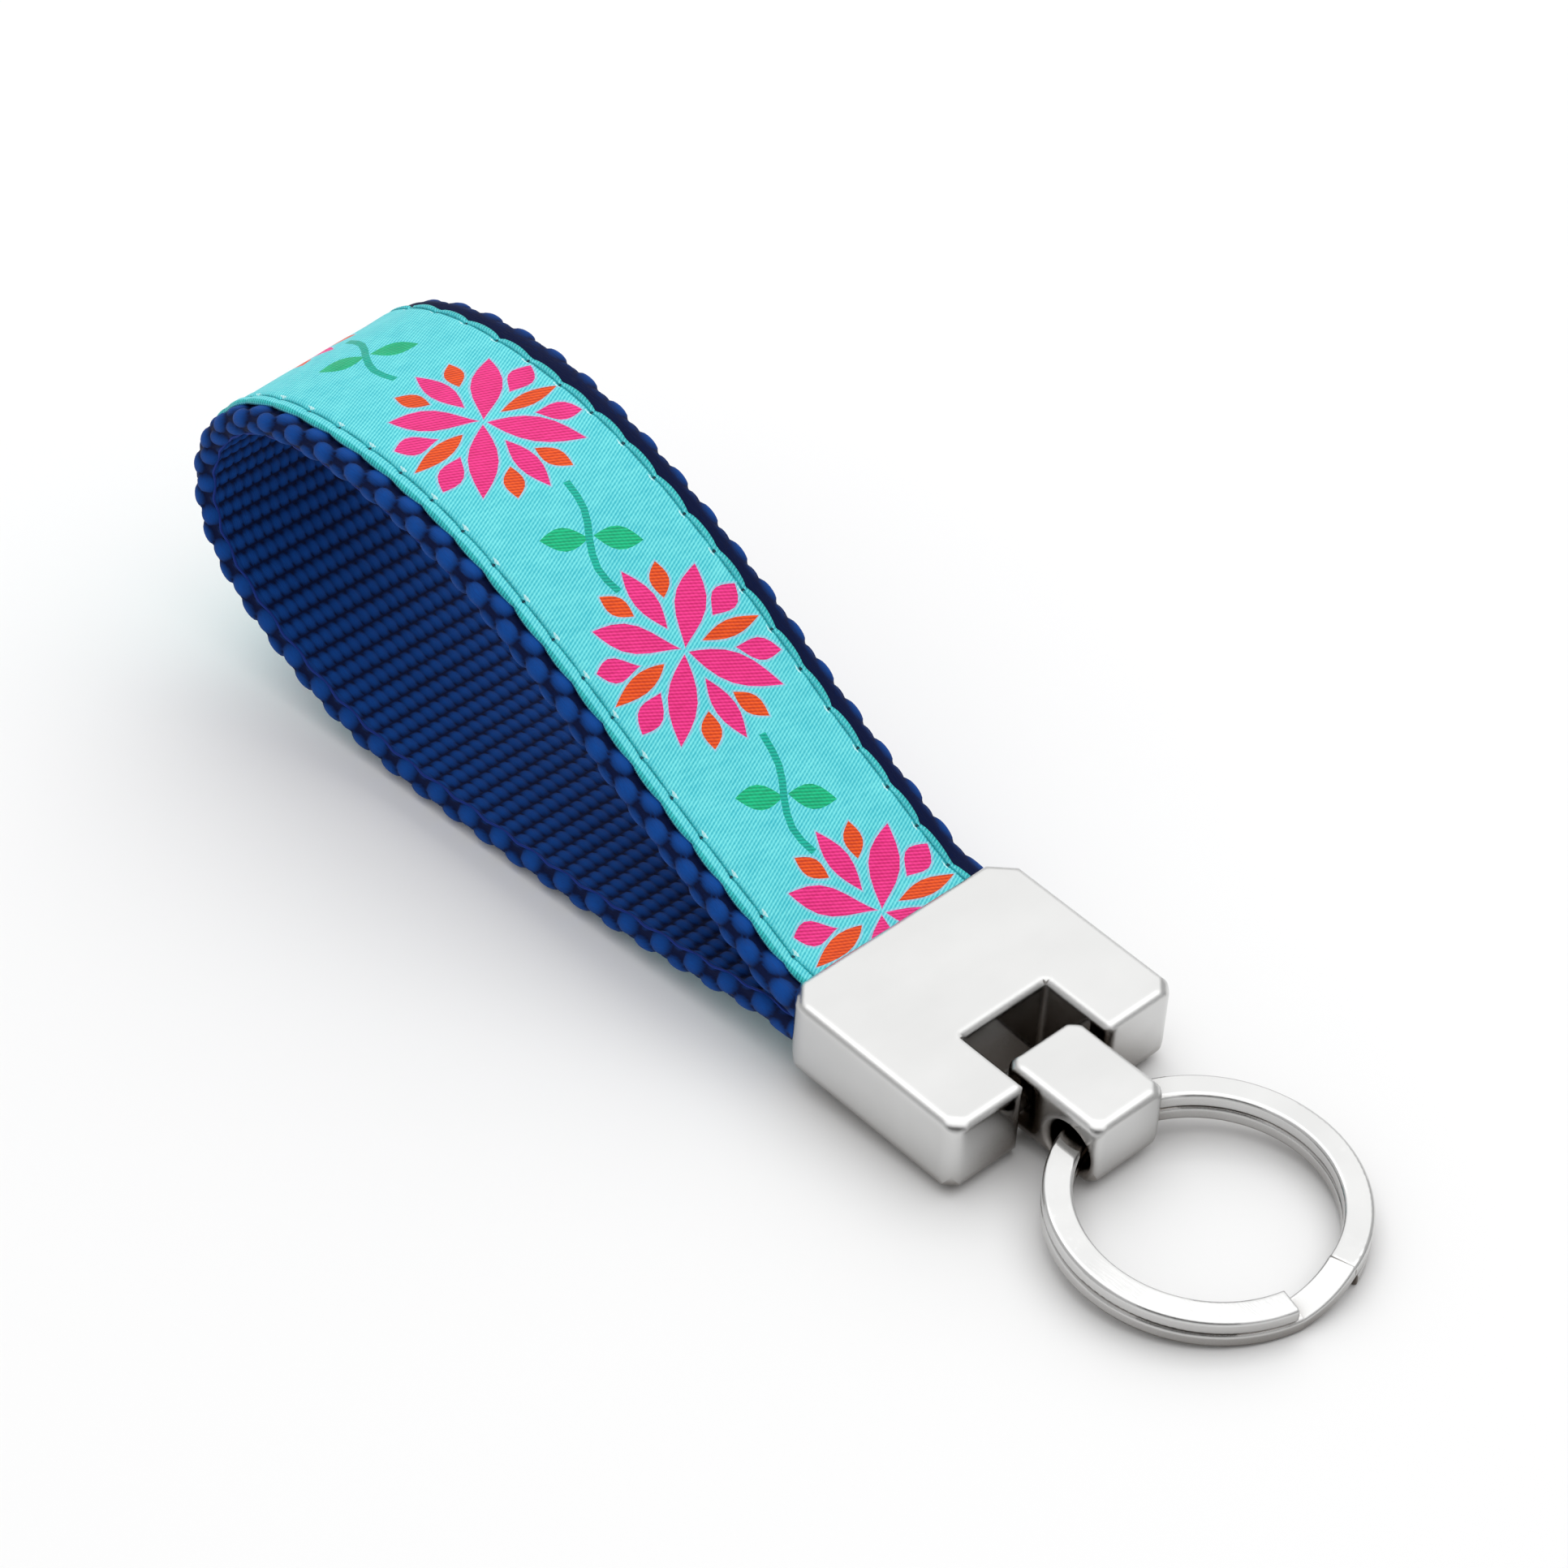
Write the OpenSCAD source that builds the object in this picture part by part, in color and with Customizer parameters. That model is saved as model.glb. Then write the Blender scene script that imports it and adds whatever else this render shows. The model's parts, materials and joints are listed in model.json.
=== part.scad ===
// Wristlet keychain: a sewn webbing loop held in a cast clamp housing, with a
// hinged lug in the notch of the housing and a split ring through the lug.
// The whole thing lies on its side of rest: the loop's lower strand, the nose of
// the housing and the far rim of the ring touch the plane z = 0.
// +X runs along the length towards the ring, +Y across the webbing, +Z up.

/* [Webbing loop] */
// Width of the webbing, at least 1 more than the ribbon's
webbing_w = 26; // [23:0.5:26]
// Thickness of the webbing at its edges
webbing_t = 3.2; // [2.9:0.05:3.2]
// Width of the sewn-on ribbon
ribbon_w = 22; // [18:0.2:22]
// Thickness of the ribbon
ribbon_t = 0.35; // [0.3:0.05:0.4]
// Diameter of the sewing thread
thread_d = 0.24; // [0.16:0.02:0.24]
// Distance of a stitch row from the ribbon's edge
stitch_inset = 1.2; // [0.8:0.1:1.6]
// Number of stitches in a row
stitch_count = 48; // [40:1:56]

/* [Clamp housing] */
// Length of the housing
housing_l = 23; // [22.5:0.1:24]
// Height of the housing
housing_h = 9.5; // [9.5:0.1:9.8]
// Thickness of the side walls
side_wall = 1.1; // [1:0.1:1.6]
// Thickness of the roof
roof_t = 1.1; // [0.9:0.05:1.15]
// Width of the notch in front
notch_w = 10.8; // [10:0.1:11.5]
// Depth of the notch from the front face
notch_l = 8.3; // [8:0.1:8.6]
// Angle by which the housing lies nose down
rest_pitch = 4.8; // [3:0.2:5]

/* [Lug] */
// Length of the lug
lug_l = 11.8; // [11.6:0.1:12]
// Width of the lug
lug_w = 8.9; // [8.4:0.1:9.2]
// Height of the lug
lug_h = 8.5; // [8.1:0.1:8.5]
// Radius of the hole for the ring
ring_hole_r = 2.6; // [2.5:0.05:2.7]
// Diameter of the hinge pin
pin_d = 1.6; // [1.4:0.1:1.6]

/* [Split ring] */
// Outer diameter of the ring
ring_d = 30; // [28:0.5:32]
// Width of the flat wire, across its flat face
wire_w = 2.8; // [2.4:0.1:2.8]
// Thickness of one turn of the wire
wire_t = 1.6; // [1.3:0.1:1.6]

/* [Hidden] */
$fn = 64;
past = 1;              // how far a cut runs past the face that it opens

// Clamp housing
cavity_w = webbing_w + 0.4;
housing_w = cavity_w + 2 * side_wall;
strand_gap = 0.3;      // between the two strands inside the housing
roof_gap = 0.05;       // between the upper strand and the roof
plate_t = 0.4;
cavity_h = roof_gap + 2 * webbing_t + strand_gap + plate_t;
floor_t = housing_h - roof_t - cavity_h;
cavity_l = housing_l - notch_l - 1.8;
nose_r = 2.4;          // rounding of the underside's edges
top_r = 0.6;           // rounding of the top edges
nose_corner_r = 3;     // rounding of the underside's corners, seen across the corner
top_corner_r = 1.2;    // the same for the top's corners
rear_corner_r = 3;     // plan corners at the strap end
front_corner_r = 1.5;
lug_corner_r = 0.8;
mouth_r = 0.9;         // rounding of the notch's two mouth corners
bevel = 0.4;           // on the edges of the notch and of the lug's hole

// Hinge and lug, in the housing's own frame
mid_h = housing_h / 2;
lug_tail_x = housing_l - 3.6;
lug_drop = 0.25;       // of the lug's top below the housing's top
lug_z = housing_h - lug_drop - lug_h;
pin_x = lug_tail_x + 1.5;
hole_x = lug_tail_x + lug_l - 3.4;
pin_blind = 3;         // metal left between the bore's end and the left side face
running_gap = 0.05;    // radial clearance of the pin in the lug

// Set screws and their plate
screw_r = 1.25;
screw_x = cavity_l * 0.55;
screw_y = 7;
socket_af = 1.3;

// Split ring
ring_r = ring_d / 2;
coil_gap = 0.05;
stack_t = 2 * wire_t + coil_gap;
wire_edge_r = 0.4;
crossover_mid = 2;     // angle round the ring, from the far rim, where the turns cross
crossover_arc = 26;
cut_gap = 3;           // angle between a cut end and the crossover
// The ring's wire sits in the middle of the hole, measured where the hole's bevel begins
hole_half_y = lug_w / 2 - bevel;
wire_inner_x = sqrt(pow(ring_r - wire_w, 2) - pow(hole_half_y, 2));
ring_reach = (ring_r + wire_inner_x) / 2 + 0.1;

// Where things lie at rest
housing_z = nose_r + (housing_l - nose_r) * sin(rest_pitch) - nose_r * cos(rest_pitch);
housing_x = -0.8;
// A point of the housing's own frame, as [x, z] of the object lying at rest
function laid(x, z) = [housing_x + x * cos(rest_pitch) + z * sin(rest_pitch),
                       housing_z - x * sin(rest_pitch) + z * cos(rest_pitch)];
hole_at = laid(hole_x, mid_h);
far_rim = ring_reach + ring_r;
ring_pitch = asin(hole_at[1] / norm([far_rim, stack_t / 2])) - atan2(stack_t / 2, far_rim);

// The webbing's outer face, seen from the side: control points of one smooth curve,
// from the upper end inside the housing, round the loop, to the lower end inside it
upper_z = housing_h - roof_t - roof_gap;
lower_z = floor_t + plate_t;
clamped_x = [16.8, 11.8, 6.8, 1.8, -3.2];
controls = [
    for (x = clamped_x) laid(x, upper_z),
    [-7.5, 13.2], [-15, 16.9], [-22.5, 21], [-30, 25.9], [-38, 30.4], [-46, 34.4],
    [-54, 36.9], [-62, 38], [-70, 38], [-77.5, 36.8], [-84, 33.6], [-88.6, 28.3],
    [-90.4, 21.6], [-89.2, 15], [-85, 10], [-79, 6.2], [-72.5, 3.2], [-65.5, 1],
    [-58, 0], [-50, 0], [-42, 0], [-34, 0.2], [-26, 0.8], [-18, 1.6], [-10, 2.6],
    for (k = [4:-1:0]) laid(clamped_x[k], lower_z)
];
// A point of the cubic B-spline of the controls, t running from 0 to 1 within span i
function spline_at(i, t) =
    (pow(1 - t, 3) * controls[i] + (3 * pow(t, 3) - 6 * t * t + 4) * controls[i + 1]
     + (-3 * pow(t, 3) + 3 * t * t + 3 * t + 1) * controls[i + 2] + pow(t, 3) * controls[i + 3]) / 6;
spans = len(controls) - 3;
fine = [for (i = [0:spans - 1]) for (t = [0:0.125:0.99]) spline_at(i, t), spline_at(spans - 1, 1)];
function lengths(i = 0, sum = 0) =
    i == len(fine) - 1 ? [sum] : concat([sum], lengths(i + 1, sum + norm(fine[i + 1] - fine[i])));
run = lengths();
run_x = [for (i = [0:len(fine) - 1]) [run[i], fine[i][0]]];
run_z = [for (i = [0:len(fine) - 1]) [run[i], fine[i][1]]];
// The same curve with its points evenly spaced, two steps to a stitch
steps = 2 * stitch_count;
face = [for (i = [0:steps]) let (s = run[len(run) - 1] * i / steps) [lookup(s, run_x), lookup(s, run_z)]];
function inward(i) =
    let (d = face[min(i + 1, steps)] - face[max(i - 1, 0)]) [d[1], -d[0]] / norm(d) * -1;
// The point u steps along, at a depth below the outer face
function under_face(u, depth) =
    let (i = min(floor(u), steps - 1), f = u - i)
    (1 - f) * (face[i] + depth * inward(i)) + f * (face[i + 1] + depth * inward(i + 1));

centre_x = (min([for (p = face) p[0]]) + hole_at[0] + far_rim * cos(ring_pitch)) / 2;

// A layer of the strap: from step u0 to u1, between two depths, y0 to y1 across
module layer(u0, u1, depth0, depth1, y0, y1) {
    stops = [u0, for (u = [floor(u0) + 1:ceil(u1) - 1]) u, u1];
    last = len(stops) - 1;
    outline = [for (u = stops) under_face(u, depth0),
               for (k = [last:-1:0]) under_face(stops[k], depth1)];
    translate([-centre_x, y1, 0])
        rotate([90, 0, 0])
            linear_extrude(y1 - y0)
                polygon(outline);
}

// Puts a thing drawn in the housing's frame where the housing lies
module lay_housing() {
    translate([housing_x - centre_x, 0, housing_z])
        rotate([0, rest_pitch, 0])
            children();
}

// A rectangle l long and w wide, drawn from x = 0, with its own corner radius at each end
module rounded_plate(l, w, rear_r, front_r) {
    for (side = [-1, 1]) {
        translate([rear_r, side * (w / 2 - rear_r)])
            circle(rear_r);
        translate([l - front_r, side * (w / 2 - front_r)])
            circle(front_r);
    }
    translate([rear_r, -w / 2])
        square([l - rear_r - front_r, w]);
    translate([0, -w / 2 + rear_r])
        square([rear_r * 2, w - 2 * rear_r]);
    translate([l - 2 * front_r, -w / 2 + front_r])
        square([2 * front_r, w - 2 * front_r]);
}

// A side view l long and h high, with its top corners and its bottom corners rounded
module side_view(l, h, top, nose) {
    for (x = [top, l - top])
        translate([x, h - top])
            circle(top);
    for (x = [nose, l - nose])
        translate([x, nose])
            circle(nose);
    translate([top, nose])
        square([l - 2 * top, h - nose]);
    translate([0, nose])
        square([l, h - nose - top]);
    translate([nose, 0])
        square([l - 2 * nose, h]);
}

// The room that a block may fill between two opposite corners, rounded off towards them
module across_corners(l, w, h, rear_reach, front_reach, side) {
    span = l + w;
    translate([l / 2, 0, 0])
        rotate([0, 0, side * 45])
            translate([-rear_reach, span / 2, 0])
                rotate([90, 0, 0])
                    linear_extrude(span)
                        side_view(rear_reach + front_reach, h, top_corner_r, nose_corner_r);
}

// A block l long, w wide and h high with every edge and every corner rounded
module cast_block(l, w, h, rear_r, front_r) {
    half_diagonal = (l + w) / 2 / sqrt(2);
    rear_reach = half_diagonal - rear_r * (sqrt(2) - 1);
    front_reach = half_diagonal - front_r * (sqrt(2) - 1);
    intersection() {
        linear_extrude(h)
            rounded_plate(l, w, rear_r, front_r);
        translate([0, w / 2, 0])
            rotate([90, 0, 0])
                linear_extrude(w)
                    side_view(l, h, top_r, nose_r);
        translate([0, -w / 2, 0])
            rotate([90, 0, 90])
                linear_extrude(l)
                    side_view(w, h, top_r, nose_r);
        across_corners(l, w, h, rear_reach, front_reach, 1);
        across_corners(l, w, h, rear_reach, front_reach, -1);
    }
}

// What is cut out of the housing's front: the notch, with rounded corners at its mouth and a
// bevel along its top edges
module notch_cut() {
    notch_x = housing_l - notch_l;
    bevel_z = housing_h - bevel;
    wide = notch_w / 2 + bevel + past;
    translate([notch_x, 0, 0])
        rotate([90, 0, 90])
            linear_extrude(notch_l + past)
                polygon([[-notch_w / 2, -past], [notch_w / 2, -past], [notch_w / 2, bevel_z],
                         [wide, housing_h + past], [-wide, housing_h + past], [-notch_w / 2, bevel_z]]);
    translate([notch_x, notch_w / 2, 0])
        rotate([90, 0, 0])
            linear_extrude(notch_w)
                polygon([[0, bevel_z], [past, bevel_z], [past, housing_h + past],
                         [-bevel - past, housing_h + past]]);
    for (side = [-1, 1])
        translate([housing_l - mouth_r, side * (notch_w / 2 + mouth_r), -past])
            linear_extrude(housing_h + 2 * past)
                difference() {
                    translate([0, side > 0 ? -mouth_r - past : 0])
                        square([mouth_r + past, mouth_r + past]);
                    circle(mouth_r);
                }
}

module webbing() {
    color("navy") {
        layer(0, steps, ribbon_t + thread_d, webbing_t, -webbing_w / 2, webbing_w / 2);
        for (side = [-1, 1])
            layer(0, steps, 0, ribbon_t + thread_d + 0.1,
                  min(side * ribbon_w, side * webbing_w) / 2, max(side * ribbon_w, side * webbing_w) / 2);
    }
}

module ribbon() {
    color("turquoise")
        layer(0, steps, thread_d, ribbon_t + thread_d, -ribbon_w / 2, ribbon_w / 2);
}

module stitch_row(side) {
    y = side * (ribbon_w / 2 - stitch_inset);
    color("darkturquoise")
        for (k = [0:stitch_count - 1])
            layer(2 * k + 0.2, 2 * k + 1.7, 0, thread_d, y - thread_d, y + thread_d);
}

module stitch_row_left() {
    stitch_row(-1);
}

module stitch_row_right() {
    stitch_row(1);
}

module clamp_housing() {
    color("silver")
        lay_housing()
            difference() {
                cast_block(housing_l, housing_w, housing_h, rear_corner_r, front_corner_r);
                translate([-past, -cavity_w / 2, floor_t])
                    cube([cavity_l + past, cavity_w, cavity_h]);
                notch_cut();
                translate([pin_x, pin_blind - housing_w / 2, mid_h])
                    rotate([-90, 0, 0])
                        cylinder(d = pin_d, h = housing_w);
                for (side = [-1, 1])
                    translate([screw_x, side * screw_y, -past])
                        cylinder(r = screw_r, h = floor_t + 2 * past);
            }
}

module clamp_plate() {
    tooth_pitch = 1.5;
    tooth_h = thread_d;
    tooth_w = ribbon_w - 4 * stitch_inset;
    color("darkgray")
        lay_housing() {
            translate([1, -webbing_w / 2, floor_t])
                cube([cavity_l - 2, webbing_w, plate_t]);
            for (x = [2:tooth_pitch:cavity_l - 2])
                translate([x, tooth_w / 2, lower_z])
                    rotate([90, 0, 0])
                        linear_extrude(tooth_w)
                            polygon([[0, -0.1], [0.8, -0.1], [0.8, 0], [0.4, tooth_h], [0, 0]]);
        }
}

module set_screws() {
    color("dimgray")
        lay_housing()
            for (side = [-1, 1])
                translate([screw_x, side * screw_y, 0.1])
                    difference() {
                        cylinder(r = screw_r, h = floor_t - 0.1);
                        translate([0, 0, -past])
                            cylinder(d = socket_af / cos(30), h = past + 0.8, $fn = 6);
                    }
}

module hinge_pin() {
    color("gray")
        lay_housing()
            translate([pin_x, pin_blind - housing_w / 2, mid_h])
                rotate([-90, 0, 0])
                    cylinder(d = pin_d, h = housing_w - pin_blind - 0.1);
}

module ring_lug() {
    color("silver")
        lay_housing()
            difference() {
                translate([lug_tail_x, 0, lug_z])
                    cast_block(lug_l, lug_w, lug_h, lug_corner_r, lug_corner_r);
                translate([pin_x, -lug_w, mid_h])
                    rotate([-90, 0, 0])
                        cylinder(r = pin_d / 2 + running_gap, h = 2 * lug_w);
                translate([hole_x, -lug_w, mid_h])
                    rotate([-90, 0, 0])
                        cylinder(r = ring_hole_r, h = 2 * lug_w);
                for (side = [-1, 1])
                    translate([hole_x, side * lug_w / 2, mid_h])
                        rotate([side * -90, 0, 0])
                            translate([0, 0, -bevel])
                                cylinder(r1 = ring_hole_r, r2 = ring_hole_r + 2 * bevel, h = 2 * bevel);
            }
}

// The wire's cross-section: flat, with rounded edges
module wire_section() {
    for (x = [-1, 1], z = [-1, 1])
        translate([x * (wire_w / 2 - wire_edge_r), z * (wire_t / 2 - wire_edge_r)])
            circle(wire_edge_r, $fn = 32);
    square([wire_w - 2 * wire_edge_r, wire_t], center = true);
    square([wire_w, wire_t - 2 * wire_edge_r], center = true);
}

// A piece of the ring's turn, from one angle to another
module turn(from, to) {
    rotate([0, 0, from])
        rotate_extrude(angle = to - from)
            translate([ring_r - wire_w / 2, 0])
                wire_section();
}

module split_ring() {
    level = (wire_t + coil_gap) / 2;
    half_arc = crossover_arc / 2;
    ramp = atan2(level, (ring_r - wire_w / 2) * sin(half_arc));
    up_from = crossover_mid + half_arc;
    up_to = 360 + crossover_mid - half_arc;
    color("silver")
        translate([hole_at[0] - centre_x, 0, hole_at[1]])
            rotate([0, ring_pitch, 0])
                translate([ring_reach, 0, 0]) {
                    translate([0, 0, level])
                        turn(up_from, up_to - cut_gap);
                    translate([0, 0, -level])
                        turn(up_from + cut_gap, up_to);
                    rotate([0, 0, crossover_mid])
                        rotate([ramp, 0, 0])
                            turn(-half_arc - 1, half_arc + 1);
                }
}

webbing();
ribbon();
stitch_row_left();
stitch_row_right();
clamp_housing();
clamp_plate();
set_screws();
hinge_pin();
ring_lug();
split_ring();
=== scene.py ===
"""A wristlet keychain: a sewn webbing loop, a plated clamp housing with a hinged lug, and a split ring.

Everything is in metres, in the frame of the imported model: +X along the length towards the ring,
+Y across the webbing, +Z up. The strap is laid out flat first, in millimetres: s runs along its
outer face from the upper end in the housing, v runs across it along +Y, and depth runs into it.
"""
import json
import math

import bmesh
import bpy
import numpy as np
from mathutils import Matrix, Vector
from mathutils.geometry import delaunay_2d_cdt


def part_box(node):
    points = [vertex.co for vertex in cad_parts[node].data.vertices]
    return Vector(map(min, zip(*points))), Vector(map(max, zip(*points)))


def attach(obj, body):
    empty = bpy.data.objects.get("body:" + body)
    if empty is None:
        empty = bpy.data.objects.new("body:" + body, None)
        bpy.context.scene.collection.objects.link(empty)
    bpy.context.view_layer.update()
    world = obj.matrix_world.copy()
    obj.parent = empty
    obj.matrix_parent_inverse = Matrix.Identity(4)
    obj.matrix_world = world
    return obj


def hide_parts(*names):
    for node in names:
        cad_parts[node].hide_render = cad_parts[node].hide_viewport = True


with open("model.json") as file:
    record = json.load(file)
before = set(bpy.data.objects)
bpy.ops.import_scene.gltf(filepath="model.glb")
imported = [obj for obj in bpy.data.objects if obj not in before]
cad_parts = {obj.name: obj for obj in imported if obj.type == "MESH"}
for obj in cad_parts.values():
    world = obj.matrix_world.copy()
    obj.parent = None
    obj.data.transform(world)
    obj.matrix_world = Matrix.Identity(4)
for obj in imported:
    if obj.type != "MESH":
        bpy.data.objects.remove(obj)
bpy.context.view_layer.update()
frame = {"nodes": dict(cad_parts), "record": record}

MM = 0.001

# ---------------------------------------------------------------- the strap's course

HOUSING_H = 9.5         # the housing's height and the height of its top mount
HOUSING_TOP_X = 7       # how far that mount lies from the housing's rear face
UPPER_Z = 8.35          # the strap's outer face above the housing's underside, upper strand
LOWER_Z = 1.65          # the same for the lower strand
CLAMPED_X = (16.8, 11.8, 6.8, 1.8, -3.2)    # control points of the straight part in the housing
SPAN_STEPS = 60         # points from one control point to the next
REAR_X = -0.8           # the housing's rear lower corner in the frame of LOOP
LEAN = 0.05             # greatest turn about its own length, in radians
DRIFT = 0.35            # greatest shift towards +Y

# Control points of the loop's outer face seen from the side, in mm, from the housing's upper
# side round the far end and back along the surface that it lies on
LOOP = (
    (-7.5, 13.2), (-15, 16.9), (-22.5, 21), (-30, 25.9), (-38, 30.4), (-46, 34.4),
    (-54, 36.9), (-62, 38), (-70, 38), (-77.5, 36.8), (-84, 33.6), (-88.6, 28.3),
    (-90.4, 21.6), (-89.2, 15), (-85, 10), (-79, 6.2), (-72.5, 3.2), (-65.5, 1),
    (-58, 0), (-50, 0), (-42, 0), (-34, 0.2), (-26, 0.8), (-18, 1.6), (-10, 2.6),
)

top_mount = next(m for m in frame["record"]["mounts"] if m["name"] == "housing_top")
top_point = np.array(top_mount["pos_m"])[[0, 2]] / MM
up = np.array(top_mount["axis"])[[0, 2]]
along = np.array([up[1], -up[0]])
rear_corner = top_point - HOUSING_TOP_X * along - HOUSING_H * up


def laid(x, z):
    """A point of the housing's own frame, seen from the side, as it lies."""
    return rear_corner + x * along + z * up


def course():
    """Length along the outer face, the points on it and its direction, closely spaced."""
    loop = [np.array([x - REAR_X + rear_corner[0], z]) for x, z in LOOP]
    upper = [laid(x, UPPER_Z) for x in CLAMPED_X]
    lower = [laid(x, LOWER_Z) for x in reversed(CLAMPED_X)]
    c = np.array(upper + loop + lower)
    t = np.linspace(0, 1, SPAN_STEPS, endpoint=False)[:, None]
    weights = ((1 - t) ** 3, 3 * t**3 - 6 * t**2 + 4, -3 * t**3 + 3 * t**2 + 3 * t + 1, t**3)
    spans = [sum(w * c[i + k] for k, w in enumerate(weights)) / 6 for i in range(len(c) - 3)]
    points = np.concatenate(spans)
    steps = np.hypot(*np.diff(points, axis=0).T)
    length = np.concatenate([[0], np.cumsum(steps)])
    direction = np.gradient(points, axis=0)
    return length, points, direction / np.hypot(*direction.T)[:, None]


course_s, course_points, course_direction = course()
STRAP_L = course_s[-1]


def smooth_rise(value, low, high):
    """Rises smoothly from 0 at low to 1 at high."""
    t = np.clip((value - low) / (high - low), 0, 1)
    return t * t * (3 - 2 * t)


def lean(s):
    """How far the strap is turned about its own length: its left edge sags towards the far end."""
    return LEAN * smooth_rise(s, 12, 60) * (1 - smooth_rise(s, 104, 132))


def drift(s):
    """How far the strap lies towards +Y, beyond the play that it has in the housing."""
    return DRIFT * (smooth_rise(s, 18, 40) - smooth_rise(s, 110, 150))


def on_strap(s, v, depth):
    """Where points of the flat strap come to lie, in metres, as an array of rows x, y, z."""
    turn = lean(s)
    v, depth = v + turn * depth + drift(s), depth - turn * v
    x, z = (np.interp(s, course_s, column) for column in course_points.T)
    dx, dz = (np.interp(s, course_s, column) for column in course_direction.T)
    size = np.hypot(dx, dz)
    y = np.broadcast_to(v, x.shape)
    return np.stack([x - depth * dz / size, y, z + depth * dx / size], -1) * MM


# ---------------------------------------------------------------- materials

def srgb(r, g, b):
    """An 8-bit screen colour as the linear colour that Blender's sockets take."""
    return tuple((c / 255 / 12.92 if c <= 10 else ((c / 255 + 0.055) / 1.055) ** 2.4)
                 for c in (r, g, b)) + (1.0,)


class Material:
    """A node material with short calls for the nodes that this scene uses."""

    def __init__(self, name, **settings):
        self.data = bpy.data.materials.new(name)
        self.data.use_nodes = True
        self.tree = self.data.node_tree
        self.shader = self.tree.nodes["Principled BSDF"]
        for socket, value in settings.items():
            self.shader.inputs[socket.replace("_", " ")].default_value = value

    def node(self, kind, settings=None, **inputs):
        n = self.tree.nodes.new("ShaderNode" + kind)
        for name, value in (settings or {}).items():
            setattr(n, name, value)
        for name, value in inputs.items():
            self.feed(n.inputs[name.replace("_", " ")], value)
        return n

    def feed(self, socket, value):
        if isinstance(value, bpy.types.NodeSocket):
            self.tree.links.new(value, socket)
        else:
            socket.default_value = value

    def math(self, operation, a, b=0.0, c=0.0):
        n = self.node("Math", {"operation": operation})
        for socket, value in zip(n.inputs, (a, b, c)):
            self.feed(socket, value)
        return n.outputs[0]

    def mix(self, factor, a, b):
        """Mixes two colours; a Mix node has its colour sockets after those for numbers and vectors."""
        n = self.node("Mix", {"data_type": "RGBA"})
        self.feed(n.inputs["Factor"], factor)
        self.feed(n.inputs[6], a)
        self.feed(n.inputs[7], b)
        return n.outputs[2]

    def remap(self, value, low, high, to_low=0.0, to_high=1.0):
        n = self.node("MapRange", Value=value)
        for name, x in (("From Min", low), ("From Max", high), ("To Min", to_low), ("To Max", to_high)):
            n.inputs[name].default_value = x
        return n.outputs[0]

    def attribute(self, name):
        return self.node("Attribute", {"attribute_name": name})

    def object_place(self):
        return self.node("TexCoord").outputs["Object"]

    def scaled(self, vector, x, y, z):
        n = self.node("Mapping", Vector=vector)
        n.inputs["Scale"].default_value = (x, y, z)
        return n.outputs[0]

    def noise(self, vector, scale, detail=2.0):
        return self.node("TexNoise", Vector=vector, Scale=scale, Detail=detail).outputs["Fac"]

    def bump(self, height, distance, strength=1.0, normal=None):
        n = self.node("Bump", Height=height, Strength=strength, Distance=distance)
        if normal is not None:
            self.feed(n.inputs["Normal"], normal)
        self.feed(self.shader.inputs["Normal"], n.outputs[0])

    def colour(self, value):
        self.feed(self.shader.inputs["Base Color"], value)

    def roughness(self, value):
        self.feed(self.shader.inputs["Roughness"], value)


def webbing_material(name, valley_shade, crown, gloss):
    """Coarse yarn: painted shade between the yarns and a painted sheen on their crowns, with fine
    filaments along them.
    """
    m = Material(name, Roughness=0.7, Specular_IOR_Level=0.12, Sheen_Weight=0.02, Sheen_Roughness=0.4)
    flat = m.attribute("flat").outputs["Vector"]
    rise = m.attribute("rise").outputs["Fac"]
    filaments = m.noise(m.scaled(flat, 1.2, 9.0, 1.0), 1.0, 3.0)
    patches = m.noise(flat, 0.22)
    # painted sheen and shade: the higher the yarn stands, the lighter its colour
    tone = m.math("MULTIPLY_ADD", filaments, 0.5, m.math("MULTIPLY", rise, 0.8))
    tone = m.math("MULTIPLY_ADD", patches, 0.2, m.math("SUBTRACT", tone, 0.3))
    m.colour(m.mix(m.remap(tone, 0.1, 0.9), valley_shade, crown))
    m.roughness(m.remap(filaments, 0.3, 0.7, gloss, gloss + 0.2))
    m.bump(filaments, 0.06 * MM, 0.7)
    return m.data


CROSSING_PERIOD = 0.42  # from one crossing thread of the ribbon's weave to the next, in mm


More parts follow.
